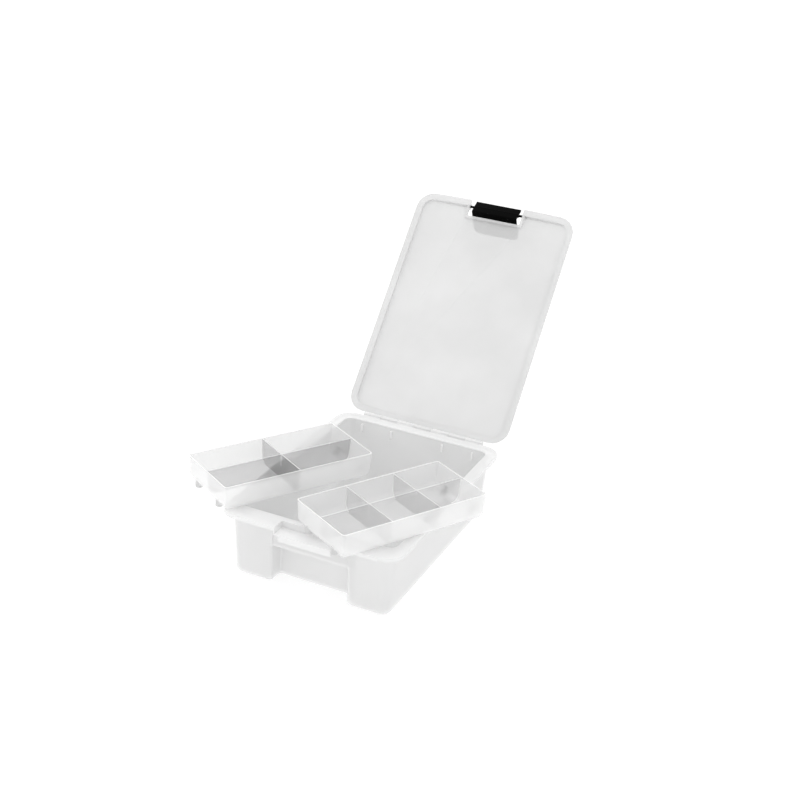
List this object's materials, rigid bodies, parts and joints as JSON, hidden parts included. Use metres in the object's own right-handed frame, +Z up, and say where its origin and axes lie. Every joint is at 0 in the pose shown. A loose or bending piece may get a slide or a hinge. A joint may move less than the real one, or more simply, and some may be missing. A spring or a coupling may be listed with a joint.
{
  "type": "parts organizer",
  "caption": "Translucent storage box with a hinged lid, a snap latch and lift-out divided trays for sorting small parts.",
  "frame": {"origin": "middle of the box's footprint, on the surface it stands on", "axes": "+Z up, +X to the right, +Y towards the hinge at the back"},
  "size_m": [0.4214, 0.7054, 0.4183],
  "materials": {
    "clear_plastic": "translucent moulded plastic",
    "lid_plastic": "translucent moulded plastic",
    "tray_plastic": "translucent moulded plastic",
    "divider_plastic": "translucent satin plastic",
    "latch_black": "satin black moulded plastic"
  },
  "bodies": {
    "storage_box": {"storage_box": "clear_plastic", "hinge_rod": "clear_plastic"},
    "lid": {"lid": "lid_plastic"},
    "latch": {"latch": "latch_black"},
    "tray_left": {"tray_left": "tray_plastic", "tray_left_long_divider": "divider_plastic", "tray_left_cross_divider": "divider_plastic"},
    "tray_right": {"tray_right": "tray_plastic", "tray_right_long_divider": "divider_plastic", "tray_right_cross_divider_front": "divider_plastic", "tray_right_cross_divider_back": "divider_plastic"}
  },
  "joints": [
    {"name": "lid_hinge", "type": "hinge", "parent": "storage_box", "child": "lid", "pos_m": [0, 0.2045, 0.105], "axis": [1, 0, 0], "range_deg": [0, 129.5]},
    {"name": "latch_hinge", "type": "hinge", "parent": "lid", "child": "latch", "pos_m": [0, 0.45884, 0.40725], "axis": [1, 0, 0], "range_deg": [0, 203.6]},
    {"name": "tray_left_slide", "type": "slide", "parent": "storage_box", "child": "tray_left", "axis": [0, -0.9982, 0.0599], "range_m": [0, 0.306]},
    {"name": "tray_right_slide", "type": "slide", "parent": "storage_box", "child": "tray_right", "axis": [0, -0.9982, 0.0599], "range_m": [0, 0.306]}
  ],
  "couplings": [
    {"joint": "tray_left_slide", "follows": "lid_hinge", "m_per_rad": 0.13494},
    {"joint": "tray_right_slide", "follows": "lid_hinge", "m_per_rad": 0.13494}
  ]
}
